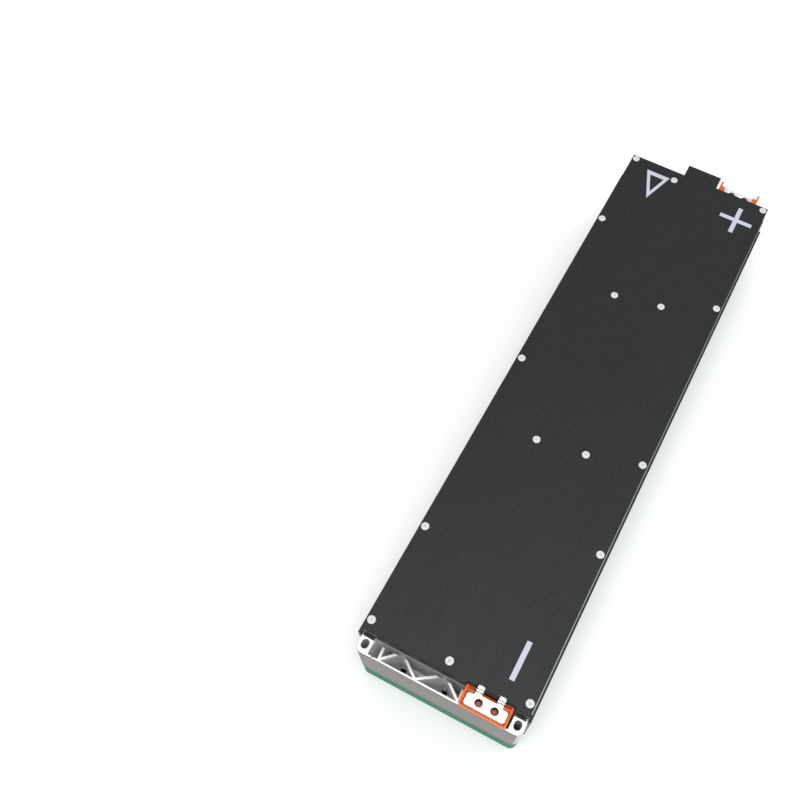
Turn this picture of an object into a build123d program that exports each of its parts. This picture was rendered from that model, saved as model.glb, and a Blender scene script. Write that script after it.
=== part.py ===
"""Battery module: twelve prismatic cells between two truss end plates.

X runs across the module with the terminals on the +X side, Y runs along it with the
negative end at -Y, and Z goes up from the floor under the base tray.  Millimetres.
"""
from build123d import *
import os

os.makedirs("parts", exist_ok=True)

# ---------------------------------------------------------------- whole module
length = 565.0
width = 148.5
height = 108.0
cell_count = 12

half_l = length / 2
half_w = width / 2

# ---------------------------------------------------------------- base and sides
tray_floor = 1.2
tray_wall = 0.8
tray_recess = 0.9
tray_top = 26.5
tray_r = 5.9
pad_t = 0.8
shadow_gap = 4.3
side_sheet = 1.0
film_t = 1.6
film_gap = 0.25
film_over = 6.4
film_short = 13.8
lip_t = 1.2
plate_drop = 6.0
plate_depth = 18.5

tray_x = half_w - film_t - film_gap
tray_y = half_l - tray_recess
sheet_x = tray_x - tray_wall
cell_x = sheet_x - side_sheet
plate_y = half_l - plate_depth
step_z = tray_top + shadow_gap

# ---------------------------------------------------------------- cells
insulator_t = 1.6
separator_t = 0.4
cell_gap_x = 0.3
head_space = 16.0
cell_z = tray_floor + pad_t
cell_h = height - head_space - cell_z
cell_top = cell_z + cell_h
plate_top = cell_top - plate_drop
cell_w = 2 * (cell_x - cell_gap_x)
stack_y = plate_y - insulator_t
cell_d = (2 * stack_y - (cell_count - 1) * separator_t) / cell_count
pitch = cell_d + separator_t
pole_w = 24.0
pole_d = 15.0
pole_h = 2.5
pole_inset = 19.0
pole_x = cell_w / 2 - pole_inset
pole_top = cell_top + pole_h
vent_r = 8.0

# ---------------------------------------------------------------- busbars and frame
busbar_t = 1.6
busbar_w = 24.0
frame_t = 1.6
frame_wall = 1.4
link_lap = 7.0
link_taper = 9.0
link_taper_side = 8.0
strip_t = 0.4
strip_x0 = -33.0
strip_x1 = -25.0
strip_back = 16.3
strip_turn = 8.0
strip_neck = 7.0
strip_lap = 1.0
strip_plug = 8.0
tab_w = 5.0
tab_lap = 5.0
tab_in = 4.0
tab_t = 0.3
tab_leg_t = 0.4
rivet_r = 3.35
rivet_head = 1.2
cover_t = 1.4
cover_top = height - rivet_head
cover_in_x = 2.75
cover_in_y = 13.8
cover_x = half_w - cover_in_x
cover_y = half_l - cover_in_y
cover_skirt = 13.0
skirt_t = 1.2
skirt_gap = 0.2
cover_under = cover_top - cover_t
frame_x = cover_x - skirt_t - skirt_gap
frame_y = cover_y - skirt_t - skirt_gap
frame_top_z = cell_top + frame_t
rib_out = half_w - film_t
rib_in = sheet_x + 0.5
frame_edge = rib_out - lip_t - 0.1
boss_r = 2.8
shank_r = 1.7
shank_hole_r = 1.9
shank_l = 8.0
pin_r = 0.9

# ---------------------------------------------------------------- end plate
lug_r = 6.5
lug_w = 11.8
slot_w = 6.0
slot_l = 7.6
slot_in_x = 6.2
slot_in_y = 7.9
front_wall = 2.0
rear_wall = 3.0
web_t = 2.1
web_drop = 7.0
web_drop_l = 3.6
pocket_z = 36.0
drain_w = 5.0
drain_l = 4.0
drain_in = 5.0
drain_off = 1.0
drain_term_x = 40.0
front_nodes = (-51.0, -19.2, 18.3)
rear_nodes = (-37.0, 1.1)

plate_x = tray_x
lug_in_x = plate_x - lug_w
slot_x = plate_x - slot_in_x
slot_y = half_l - slot_in_y

# ---------------------------------------------------------------- terminals
house_w = 39.6
house_gap = 1.8
house_drop = 2.8
tongue_h = 10.0
house_wall = 1.8
house_floor = 8.0
house_rim = 8.5
ear_w = 7.0
ear_front = 11.6
far_ear_w = 5.2
far_ear_l = 6.0
bar_t = 2.4
bar_in_x = 2.6
bar_in_y = 1.5
bar_hole_r = 3.2
bar_hole_in = 5.4
bar_hole_from = (13.7, 27.0)
clip_from = (10.8, 28.9)
clip_w = 5.8
clip_t = 0.8
clip_rise = 1.6
neck_w = 6.6
insert_r = 4.6
insert_l = 8.0
insert_bore_r = 2.5
insert_bore_l = 7.0
insert_wall = 1.2

house_x1 = lug_in_x - house_gap
house_x0 = house_x1 - house_w
house_top = cover_top - house_drop
house_front_top = plate_top + house_rim
ear_y0 = frame_y + 0.3
ear_y1 = half_l - ear_front
bar_z = pole_top + busbar_t
bar_x0 = house_x0 + bar_in_x
bar_x1 = house_x1 - bar_in_x + 0.6
bar_y = half_l - bar_in_y
bar_hole_y = bar_y - bar_hole_in
bar_hole_xs = [house_x0 + step for step in bar_hole_from]
clip_xs = [house_x0 + step for step in clip_from]
neck_x0 = clip_xs[0] - neck_w / 2
neck_x1 = clip_xs[1] + neck_w / 2

# ---------------------------------------------------------------- cover outline
tab_x = 17.0
conn_x = 11.0
tab_y = half_l
notch_gap = 0.6
notch_depth = 2.4
clip_slot_gap = 0.6
clip_slot_l = 4.4
notch_x0 = house_x0 - notch_gap
notch_x1 = house_x1 + notch_gap
clip_slot_w = clip_w + 2 * clip_slot_gap
clip_slot_y = cover_y - clip_slot_l

# rivet places: corners and ends, left edge, right edge, and four inside pairs
rivet_in_x = 4.25
rivet_in_near = 8.7
rivet_in_far = 4.7
near_row = rivet_in_near - cover_y
far_row = cover_y - rivet_in_far
row_x = cover_x - rivet_in_x
middle_far = (-23.4, far_row - 7.3)
left_ys = (-175.0, 1.9, 178.4)
right_ys = (-130.9, -42.9, 134.3)
inner_spots = [(-21.4, 102.6), (21.3, 111.5), (-21.5, -63.5), (21.2, -56.7)]
rivet_spots = [(-row_x, near_row), (0.0, near_row), (row_x, near_row)]
rivet_spots += [(-row_x, far_row), middle_far, (row_x, far_row)]
rivet_spots += [(-row_x, y) for y in left_ys]
rivet_spots += [(row_x, y) for y in right_ys]
rivet_spots += inner_spots


def block(x0, x1, y0, y1, z0, z1, mode=Mode.ADD):
    """A box between two corners, added to the part being built."""
    with Locations(((x0 + x1) / 2, (y0 + y1) / 2, (z0 + z1) / 2)):
        Box(x1 - x0, y1 - y0, z1 - z0, mode=mode)


def rod(x, y, z0, z1, r, mode=Mode.ADD):
    """An upright cylinder from z0 to z1."""
    with Locations((x, y, (z0 + z1) / 2)):
        Cylinder(r, z1 - z0, mode=mode)


def save(piece, name):
    piece.label = name
    export_step(piece, "parts/" + name + ".step")


# ================================================================ base tray
with BuildPart() as base_tray:
    with BuildSketch():
        Rectangle(2 * tray_x, 2 * tray_y)
    extrude(amount=tray_top)
    fillet(base_tray.edges().filter_by(Axis.Z), radius=tray_r)
    fillet(base_tray.faces().sort_by(Axis.Z)[0].edges(), radius=0.6)
    with BuildSketch(Plane.XY.offset(tray_floor)):
        RectangleRounded(2 * sheet_x, 2 * (tray_y - tray_wall), tray_r - tray_wall)
    extrude(amount=tray_top, mode=Mode.SUBTRACT)
    # the mounting bolts go right through the floor
    with BuildSketch():
        with Locations(*[(x, y) for x in (-slot_x, slot_x) for y in (-slot_y, slot_y)]):
            SlotOverall(slot_l + 0.6, slot_w + 0.6, rotation=90)
    extrude(amount=tray_floor, mode=Mode.SUBTRACT)
save(base_tray.part, "base_tray")

with BuildPart() as bottom_pad:
    block(-cell_w / 2, cell_w / 2, -stack_y, stack_y, tray_floor, cell_z)
save(bottom_pad.part, "bottom_pad")

# ================================================================ cells
with BuildPart() as cell:
    block(-cell_w / 2, cell_w / 2, -cell_d / 2, cell_d / 2, cell_z, cell_top)
    fillet(cell.edges().filter_by(Axis.Z), radius=1.6)
    rod(0, 0, cell_top - 0.5, cell_top, vent_r, Mode.SUBTRACT)
    with BuildSketch(Plane.XY.offset(cell_top)):
        with Locations((-pole_x, 0), (pole_x, 0)):
            RectangleRounded(pole_w, pole_d, 2.5)
    extrude(amount=pole_h)

cell_ys = [-stack_y + cell_d / 2 + i * pitch for i in range(cell_count)]
for i, y in enumerate(cell_ys):
    with BuildPart() as placed_cell:
        add(cell.part.moved(Location((0, y, 0))))
    save(placed_cell.part, "cell_%02d" % (i + 1))

with BuildPart() as cell_separators:
    for y in cell_ys[:-1]:
        block(-cell_w / 2 + 2, cell_w / 2 - 2, y + cell_d / 2, y + cell_d / 2 + separator_t,
              cell_z, cell_top - 2)
save(cell_separators.part, "cell_separators")

with BuildPart() as vent_films:
    for y in cell_ys:
        rod(0, y, cell_top - 0.5, cell_top - 0.2, vent_r)
save(vent_films.part, "vent_films")

with BuildPart() as end_insulator_near:
    block(-cell_x, cell_x, -plate_y, -stack_y, cell_z, cell_top)
save(end_insulator_near.part, "end_insulator_near")

with BuildPart() as end_insulator_far:
    mirror(end_insulator_near.part, about=Plane.XZ)
save(end_insulator_far.part, "end_insulator_far")

# ================================================================ end plates
outer_y = -half_l
rear_y = -plate_y
front_in = outer_y + front_wall
rear_in = rear_y - rear_wall


def web(x0, y0, x1, y1):
    """The four corners of one web of the truss, seen from above."""
    half = web_t / 2 * ((x1 - x0) ** 2 + (y1 - y0) ** 2) ** 0.5 / abs(y1 - y0)
    return [(x0 - half, y0), (x0 + half, y0), (x1 + half, y1), (x1 - half, y1)]


truss = []
corners = [(front_nodes[0], front_in), (rear_nodes[0], rear_in), (front_nodes[1], front_in),
           (rear_nodes[1], rear_in), (front_nodes[2], front_in)]
for a, b in zip(corners[:-1], corners[1:]):
    truss.append(web(a[0], a[1], b[0], b[1]))
truss.append(web(front_nodes[0], front_in, front_nodes[0] - 1.2, rear_in))
truss.append(web(front_nodes[2], front_in, front_nodes[2] - 1.2, rear_in))
pocket_x0 = -lug_in_x
pocket_x1 = lug_in_x

with BuildPart() as end_plate_near:
    for reach, half, low, high, corner in (
        (plate_depth, plate_x, step_z, plate_top, lug_r),
        (tray_y - tray_wall - plate_y, sheet_x, tray_floor, step_z, tray_r - tray_wall),
    ):
        with BuildSketch(Plane.XY.offset(low)):
            with Locations((0, rear_y)):
                RectangleRounded(2 * half, 2 * reach, corner)
            with Locations((0, rear_y + plate_depth)):
                Rectangle(2 * width, 2 * plate_depth, mode=Mode.SUBTRACT)
        extrude(amount=high - low)
    chamfer(end_plate_near.faces().sort_by(Axis.Z)[-1].edges().group_by(Axis.Y)[0], length=0.5)
    # one long pocket from above, then the webs put back
    block(pocket_x0, pocket_x1, front_in, rear_in, pocket_z, plate_top, Mode.SUBTRACT)
    for points in truss:
        with BuildSketch(Plane.XY.offset(pocket_z)):
            with BuildLine():
                Polyline(*points, close=True)
            make_face()
        extrude(amount=plate_top - pocket_z)
    # the webs are lower where they run under the cover
    block(pocket_x0, pocket_x1, rear_in - web_drop_l, rear_in, plate_top - web_drop, plate_top, Mode.SUBTRACT)
    # drain holes in the pocket floor
    drain_y = rear_in - drain_in
    drain_xs = (rear_nodes[0] + drain_off, rear_nodes[1] + drain_off, drain_term_x)
    with Locations(*[(x, drain_y) for x in drain_xs]):
        Box(drain_w, drain_l, 2 * plate_top, mode=Mode.SUBTRACT)
    # notch in the front wall beside each lug, and slotted mounting holes
    for side in (-1, 1):
        with Locations((side * (lug_in_x - 4.2), outer_y + front_wall / 2, plate_top)):
            Box(1.6, front_wall * 2, 6, mode=Mode.SUBTRACT)
        with BuildSketch(Plane.XY.offset(plate_top)):
            with Locations((side * slot_x, -slot_y)):
                SlotOverall(slot_l, slot_w, rotation=90)
        extrude(amount=-plate_top, mode=Mode.SUBTRACT)
save(end_plate_near.part, "end_plate_near")

with BuildPart() as end_plate_far:
    mirror(end_plate_near.part, about=Plane.XZ)
save(end_plate_far.part, "end_plate_far")

# ================================================================ side plates
groove_z0 = 43.0
groove_pitch = 8.0
groove_h = 3.0
groove_count = int((plate_top - groove_h - groove_pitch - groove_z0) / groove_pitch) + 1
groove_zs = [groove_z0 + i * groove_pitch for i in range(groove_count)]

with BuildPart() as side_plate_right:
    block(cell_x, sheet_x, -plate_y, plate_y, tray_floor, plate_top)
    block(sheet_x, rib_out, -plate_y, plate_y, step_z, plate_top)
    # a thinner lip stands beside the busbar frame
    block(rib_out - lip_t, rib_out, -plate_y, plate_y, plate_top - 1, frame_top_z)
    for z in groove_zs:
        block(rib_in, rib_out, -plate_y, plate_y, z, z + groove_h, Mode.SUBTRACT)
save(side_plate_right.part, "side_plate_right")

with BuildPart() as side_plate_left:
    mirror(side_plate_right.part, about=Plane.YZ)
save(side_plate_left.part, "side_plate_left")

film_y = plate_y + film_over
film_far_y = plate_y - film_short
with BuildPart() as side_film_right:
    block(rib_out, half_w, -film_y, film_far_y, step_z + 1, frame_top_z + 0.4)
save(side_film_right.part, "side_film_right")

with BuildPart() as side_film_left:
    mirror(side_film_right.part, about=Plane.YZ)
save(side_film_left.part, "side_film_left")

# ================================================================ busbar frame
with BuildPart() as busbar_frame:
    block(-frame_x, frame_x, -frame_y, frame_y, cell_top, cover_under)
    block(-frame_x + frame_wall, frame_x - frame_wall, -frame_y + frame_wall, frame_y - frame_wall,
          frame_top_z, cover_under, Mode.SUBTRACT)
    block(-frame_edge, frame_edge, -plate_y, plate_y, cell_top, frame_top_z)
    # end walls reach down over the end plates
    for side in (-1, 1):
        with Locations((0, side * (frame_y - frame_wall / 2), (plate_top + cell_top) / 2)):
            Box(2 * frame_x, frame_wall, cell_top - plate_top)
    # windows round the poles and the vents
    with Locations(*[(x, y, cell_top) for y in cell_ys for x in (-pole_x, pole_x)]):
        Box(pole_w + 3, pole_d + 3, 4 * frame_t, mode=Mode.SUBTRACT)
    with Locations(*[(0, y, cell_top) for y in cell_ys]):
        Cylinder(vent_r + 1.5, 4 * frame_t, mode=Mode.SUBTRACT)
    # bosses for the cover rivets
    with Locations(*[(x, y, (cell_top + cover_under) / 2) for x, y in rivet_spots]):
        Cylinder(boss_r, cover_under - cell_top)
    with Locations(*[(x, y, cover_under) for x, y in rivet_spots]):
        Cylinder(shank_hole_r, 2 * (shank_l + 1.5), mode=Mode.SUBTRACT)
    # windows in the end walls where the terminal bars and clips leave
    for side in (-1, 1):
        with Locations(*[(x, side * (frame_y - frame_wall / 2), (bar_z - 0.6 + cover_under) / 2)
                         for x in clip_xs]):
            Box(neck_w + 1.0, 4 * frame_wall, cover_under - bar_z + 0.6, mode=Mode.SUBTRACT)
    # stepped feet stand on the lugs below the cover's edge
    foot_x = (lug_in_x + 0.4 + frame_x) / 2
    for side in (-1, 1):
        with Locations((-foot_x, side * (frame_y + 1.0), (plate_top + frame_top_z) / 2),
                       (foot_x, side * (frame_y + 1.0), (plate_top + frame_top_z) / 2)):
            Box(frame_x - lug_in_x - 0.4, 3.0, frame_top_z - plate_top)
    # window and shelf for the signal connector at the far end
    block(-conn_x, conn_x, frame_y - 2 * frame_wall, frame_y + 1, frame_top_z + strip_t, cover_under,
          Mode.SUBTRACT)
    block(-conn_x - 2, conn_x + 2, frame_y, tab_y - 4, plate_top, frame_top_z)
save(busbar_frame.part, "busbar_frame")

# ================================================================ busbars
with BuildPart() as cell_busbars:
    for i in range(cell_count - 1):
        side = -1 if i % 2 == 0 else 1
        y = (cell_ys[i] + cell_ys[i + 1]) / 2
        with BuildSketch(Plane.XY.offset(pole_top)):
            with Locations((side * pole_x, y)):
                RectangleRounded(busbar_w, pitch + pole_d - 1, 2.5)
            with Locations((side * pole_x, y)):
                SlotOverall(busbar_w * 0.6, 3.0, mode=Mode.SUBTRACT)
        extrude(amount=busbar_t)
save(cell_busbars.part, "cell_busbars")

with BuildPart() as output_busbar_near:
    with BuildSketch(Plane.XY.offset(pole_top)):
        with BuildLine():
            Polyline((pole_x - busbar_w / 2, cell_ys[0] + link_lap),
                     (pole_x + busbar_w / 2, cell_ys[0] + link_lap),
                     (pole_x + busbar_w / 2, -stack_y + link_taper), (neck_x1, -stack_y),
                     (neck_x1, -plate_y), (neck_x0, -plate_y), (neck_x0, -stack_y),
                     (pole_x - busbar_w / 2, -stack_y + link_taper_side), close=True)
        make_face()
    extrude(amount=busbar_t)
save(output_busbar_near.part, "output_busbar_near")

with BuildPart() as output_busbar_far:
    mirror(output_busbar_near.part, about=Plane.XZ)
save(output_busbar_far.part, "output_busbar_far")

# ================================================================ terminals
with BuildPart() as terminal_housing_near:
    block(house_x0, house_x1, outer_y, -frame_y - 0.2, plate_top, house_top)
    # open above, with a lower front wall and a low back
    block(house_x0 + house_wall, house_x1 - house_wall, outer_y + house_wall,
          -frame_y + 1, plate_top + house_floor, house_top, Mode.SUBTRACT)
    block(house_x0 + house_wall, house_x1 - house_wall, outer_y - 1, outer_y + house_wall + 1,
          house_front_top, house_top, Mode.SUBTRACT)
    # everything behind the cover edge is cut back under the cover
    block(house_x0 - 1, house_x1 + 1, -ear_y0, -frame_y + 1, plate_top - 1, house_top + 1,
          Mode.SUBTRACT)
    # ears at the two back corners
    block(house_x0, house_x0 + ear_w, -ear_y1, -ear_y0, plate_top, house_top)
    block(house_x1 - ear_w, house_x1, -ear_y1, -ear_y0, plate_top, house_top)
    # two pillars that hold the threaded inserts, and a rib under each end of the bar
    with Locations(*[(x, -bar_hole_y, (plate_top + bar_z) / 2) for x in bar_hole_xs]):
        Cylinder(insert_r + insert_wall, bar_z - plate_top)
    block(house_x0 + house_wall, bar_x0 + 2.5, -bar_y + 1, -ear_y1, plate_top + house_floor, bar_z)
    block(bar_x1 - 2.5, house_x1 - house_wall, -bar_y + 1, -ear_y1, plate_top + house_floor, bar_z)
    with Locations(*[(x, -bar_hole_y, bar_z) for x in bar_hole_xs]):
        Cylinder(insert_r, 2 * insert_l, mode=Mode.SUBTRACT)
    # tongue that drops into the pocket of the end plate and locates the housing
    block(house_x0 + 6, house_x1 - 6, front_in + 0.3, front_in + 4.3,
          plate_top - tongue_h, plate_top + 1)
save(terminal_housing_near.part, "terminal_housing_near")

with BuildPart() as terminal_housing_far:
    mirror(terminal_housing_near.part, about=Plane.XZ)
    # the far ears reach further out, over the ends of the bar
    for x0, x1 in ((house_x0, house_x0 + far_ear_w), (house_x1 - far_ear_w, house_x1)):
        block(x0, x1, ear_y1 - 0.5, ear_y1 + far_ear_l, bar_z + bar_t + 0.3, house_top)
save(terminal_housing_far.part, "terminal_housing_far")

with BuildPart() as terminal_inserts_near:
    with Locations(*[(x, -bar_hole_y, bar_z - insert_l / 2) for x in bar_hole_xs]):
        Cylinder(insert_r, insert_l)
    with Locations(*[(x, -bar_hole_y, bar_z) for x in bar_hole_xs]):
        Cylinder(insert_bore_r, 2 * insert_bore_l, mode=Mode.SUBTRACT)
save(terminal_inserts_near.part, "terminal_inserts_near")

with BuildPart() as terminal_inserts_far:
    mirror(terminal_inserts_near.part, about=Plane.XZ)
save(terminal_inserts_far.part, "terminal_inserts_far")

with BuildPart() as terminal_bar_near:
    with BuildSketch(Plane.XY.offset(bar_z)):
        with Locations(((bar_x0 + bar_x1) / 2, -(bar_y + ear_y1 + 0.4) / 2)):
            RectangleRounded(bar_x1 - bar_x0, bar_y - ear_y1 - 0.4, 2.4)
        with Locations(((neck_x0 + neck_x1) / 2, -(bar_y - 4 + frame_y + 2.4) / 2)):
            Rectangle(neck_x1 - neck_x0, bar_y - 4 - frame_y - 2.4)
        # one neck under each clip goes in to the output busbar
        with Locations(*[(x, -(stack_y - 4 + bar_y - 4) / 2) for x in clip_xs]):
            Rectangle(neck_w, bar_y - stack_y)
    extrude(amount=bar_t)
    chamfer(terminal_bar_near.faces().sort_by(Axis.Z)[-1].edges(), length=0.4)
    with Locations(*[(x, -bar_hole_y, bar_z) for x in bar_hole_xs]):
        Cylinder(bar_hole_r, 3 * bar_t, mode=Mode.SUBTRACT)
save(terminal_bar_near.part, "terminal_bar_near")

with BuildPart() as terminal_bar_far:
    mirror(terminal_bar_near.part, about=Plane.XZ)
save(terminal_bar_far.part, "terminal_bar_far")

clip_z = bar_z + bar_t
clip_y = ear_y1 - 0.3
with BuildPart() as terminal_clips_near:
    with BuildSketch(Plane.YZ.offset(clip_xs[0] - clip_w / 2)):
        with BuildLine():
            Polyline((-stack_y, clip_z), (-clip_y + 1.6, clip_z), (-clip_y + 0.8, clip_z + clip_rise),
                     (-clip_y, clip_z + clip_rise), (-clip_y, clip_z + clip_rise + clip_t),
                     (-clip_y + 1.2, clip_z + clip_rise + clip_t), (-clip_y + 2.0, clip_z + clip_t),
                     (-clip_y + 3.4, clip_z + clip_t), (-clip_y + 4.2, clip_z + clip_rise + clip_t),
                     (-clip_y + 5.0, clip_z + clip_rise + clip_t), (-clip_y + 5.4, clip_z + 3.2),
                     (-stack_y, clip_z + 3.2), close=True)
        make_face()
    extrude(amount=clip_w)
    add(terminal_clips_near.part.moved(Location((clip_xs[1] - clip_xs[0], 0, 0))))
save(terminal_clips_near.part, "terminal_clips_near")

with BuildPart() as terminal_clips_far:
    mirror(terminal_clips_near.part, about=Plane.XZ)
save(terminal_clips_far.part, "terminal_clips_far")

# ================================================================ sensing circuit
strip_end = frame_y - strip_back
with BuildPart() as sensing_strip:
    block(strip_x0, strip_x1, cell_ys[0], strip_end, frame_top_z, frame_top_z + strip_t)
    block(strip_x0, strip_neck, strip_end - strip_turn, strip_end, frame_top_z, frame_top_z + strip_t)
    block(-strip_neck, strip_neck, strip_end - strip_lap, frame_y - strip_plug,
          frame_top_z, frame_top_z + strip_t)
save(sensing_strip.part, "sensing_strip")

tab_z = pole_top + busbar_t
tab_foot = strip_x0 + tab_in
tab_start = -pole_x + busbar_w / 2 - tab_lap
with BuildPart() as sensing_tabs:
    for i in range(0, cell_count - 1, 2):
        y = (cell_ys[i] + cell_ys[i + 1]) / 2
        block(tab_start, tab_foot, y - tab_w / 2, y + tab_w / 2, tab_z, tab_z + tab_t)
        block(tab_foot - tab_leg_t, tab_foot, y - tab_w / 2, y + tab_w / 2, frame_top_z + strip_t, tab_z)
save(sensing_tabs.part, "sensing_tabs")

with BuildPart() as thermistors:
    for y in (cell_ys[2], cell_ys[9]):
        block(strip_x1 - 5, strip_x1 - 1.5, y - 3, y + 3, frame_top_z + strip_t,
              frame_top_z + strip_t + 1.6)
save(thermistors.part, "thermistors")

conn_z = frame_top_z + strip_t
conn_back = frame_y + 2.0
conn_end = tab_y - 5.5
with BuildPart() as signal_connector:
    block(-conn_x, conn_x, frame_y - 8, conn_end, conn_z, cover_under - 1.0)
    block(-conn_x + 1.6, conn_x - 1.6, conn_back, conn_end + 1, conn_z + 1.6, cover_under - 2.6,
          Mode.SUBTRACT)
save(signal_connector.part, "signal_connector")

with BuildPart() as connector_pins:
    for row in (4.0, 7.0):
        with Locations(*[(-7.0 + 2 * i, conn_back + 3.0, conn_z + row) for i in range(8)]):
            Box(0.6, 6.0, 0.6)
save(connector_pins.part, "connector_pins")

# ================================================================ cover
with BuildPart() as cover:
    with BuildSketch(Plane.XY.offset(cover_top - cover_skirt)):
        RectangleRounded(2 * cover_x, 2 * cover_y, 1.2)
    extrude(amount=cover_skirt)
    chamfer(cover.faces().sort_by(Axis.Z)[-1].edges(), length=0.4)
    block(-cover_x + skirt_t, cover_x - skirt_t, -cover_y + skirt_t, cover_y - skirt_t,
          cover_top - cover_skirt - 1, cover_under, Mode.SUBTRACT)
    # tab over the signal connector
    block(-tab_x, tab_x, cover_y - 1, tab_y, cover_under, cover_top)
    block(-tab_x + 1.4, tab_x - 1.4, cover_y - 2, cover_y + 1, cover_top - cover_skirt - 1,
          cover_under, Mode.SUBTRACT)
    # notch and clip slots over the near terminal
    with Locations(((notch_x0 + notch_x1) / 2, -(cover_y - notch_depth / 2 + 0.5),
                    cover_top - cover_skirt / 2)):
        Box(notch_x1 - notch_x0, notch_depth + 1, 2 * cover_skirt, mode=Mode.SUBTRACT)
    with Locations(*[(x, -(clip_slot_y + cover_y) / 2, cover_top) for x in clip_xs]):
        Box(clip_slot_w, cover_y - clip_slot_y, 2 * cover_skirt, mode=Mode.SUBTRACT)
    # at the far end the top runs on over the terminal and only the skirt is open
    block(notch_x0, notch_x1, cover_y - notch_depth, cover_y + 1, cover_top - cover_skirt - 1,
          house_top + notch_gap, Mode.SUBTRACT)
    with Locations(*[(x, y, cover_top) for x, y in rivet_spots]):
        Cylinder(shank_hole_r, 4 * cover_t, mode=Mode.SUBTRACT)
save(cover.part, "cover")

with BuildPart() as cover_rivets:
    with Locations(*[(x, y, cover_top + rivet_head / 2) for x, y in rivet_spots]):
        Cylinder(rivet_r, rivet_head)
    chamfer(cover_rivets.faces().sort_by(Axis.Z)[-len(rivet_spots):].edges(), length=0.4)
    with Locations(*[(x, y, cover_top - shank_l / 2) for x, y in rivet_spots]):
        Cylinder(shank_r, shank_l)
    with Locations(*[(x, y, cover_top + rivet_head) for x, y in rivet_spots]):
        Cylinder(pin_r, 2 * 5.0, mode=Mode.SUBTRACT)
save(cover_rivets.part, "cover_rivets")

with BuildPart() as rivet_pins:
    with Locations(*[(x, y, cover_top + rivet_head - 2.7) for x, y in rivet_spots]):
        Cylinder(pin_r, 4.6)
save(rivet_pins.part, "rivet_pins")
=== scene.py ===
import math

import bmesh
import bpy
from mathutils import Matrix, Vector


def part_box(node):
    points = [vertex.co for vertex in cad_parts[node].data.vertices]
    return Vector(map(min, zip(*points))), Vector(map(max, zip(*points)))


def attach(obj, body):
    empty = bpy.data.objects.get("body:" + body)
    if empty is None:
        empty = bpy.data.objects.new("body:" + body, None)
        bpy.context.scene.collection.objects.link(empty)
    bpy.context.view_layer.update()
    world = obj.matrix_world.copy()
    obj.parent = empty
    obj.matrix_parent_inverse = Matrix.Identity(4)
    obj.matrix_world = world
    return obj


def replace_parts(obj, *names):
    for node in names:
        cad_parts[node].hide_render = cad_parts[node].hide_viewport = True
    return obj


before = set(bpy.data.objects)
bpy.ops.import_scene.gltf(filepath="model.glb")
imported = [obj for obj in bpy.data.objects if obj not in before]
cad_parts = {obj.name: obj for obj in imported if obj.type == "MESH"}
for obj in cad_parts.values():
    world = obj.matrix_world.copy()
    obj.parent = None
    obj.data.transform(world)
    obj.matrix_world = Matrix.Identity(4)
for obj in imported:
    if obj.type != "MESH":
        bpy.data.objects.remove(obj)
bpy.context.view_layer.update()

bl_info = {
    "name": "Battery module",
    "version": (1, 0, 0),
    "blender": (4, 5, 0),
    "location": "3D View > Sidebar > Battery",
    "description": "Dresses a packed battery module: cover, end plates, terminals, tray and stage",
    "category": "Object",
}

MM = 0.001
COVER_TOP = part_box("cover")[1][2]
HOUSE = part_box("terminal_housing_near")
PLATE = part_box("end_plate_near")
PLATE_FACE = -PLATE[0][1]
PLATE_TOP = PLATE[1][2]
STEP_Z = 0.0308
TRAY_TOP = 0.0265
INK_DEPTH = 0.02 * MM
INK_LIFT = 0.06 * MM
MERGE = 2e-6

# centres of the cover's snap rivets, across and along the module, in millimetres
RIVET_SPOTS = (
    (-67.25, -260.0), (0.0, -260.0), (67.25, -260.0),
    (-67.25, 264.0), (-23.4, 256.7), (67.25, 264.0),
    (-67.25, -175.0), (-67.25, 1.9), (-67.25, 178.4),
    (67.25, -130.9), (67.25, -42.9), (67.25, 134.3),
    (-21.4, 102.6), (21.3, 111.5), (-21.5, -63.5), (21.2, -56.7),
)
# turned outlines as shares of the head's radius and height, from the foot to the middle
RIVET_HEAD = ((0.97, 0.0), (1.0, 0.12), (1.0, 0.42), (0.975, 0.62), (0.92, 0.78), (0.80, 0.90),
              (0.60, 0.97), (0.40, 1.0), (0.37, 0.98), (0.35, 0.70))
RIVET_PIN = ((0.345, 0.60), (0.345, 0.86), (0.33, 0.93), (0.28, 0.97), (0.14, 1.0), (0.0, 1.004))
RIVET_SIDES = 40
# centres of the bars' holes, across and along the module, in millimetres
BAR_HOLES = ((32.9, 275.6), (46.2, 275.6))
THREAD_TURNS = 7
THREAD_PITCH = 1.0 * MM
THREAD_SIDES = 32
# the printed marks, in millimetres: centres of the bars, and the triangle's tip and corners
MINUS_PLACE = (47.6, -235.0)
PLUS_PLACE = (47.7, 240.0)
TRIANGLE = ((-39.5, 223.0), (-28.2, 257.0), (-52.2, 257.0))
TRIANGLE_STROKE = 0.8
# faces that meet flatter than FLAT become one, edges sharper than SHARP are broken
FLAT = math.radians(1.0)
SHARP = math.radians(40)
SOFT_ANGLE = 28.0

# the stage, in metres and degrees
FLOOR_REACH = 6.0
FLOOR_DROP = 0.0004
FLOOR_GLOW = 0.1
WORLD_LIGHT = 0.6
MIDDLE = 0.05
# name, place, size and power of each soft light
PANELS = (("key", (0.1, -0.7, 2.8), 1.3, 50.0), ("fill", (0.9, 1.2, 2.4), 1.8, 10.0))
CAMERA_LENS = 40.37
CAMERA_SHIFT = (-0.10685, 0.03299)
CAMERA_PLACE = (0.058881, -0.383194, 0.789324)
CAMERA_TURN = (25.977452, -2.557379, 27.009267)


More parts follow.
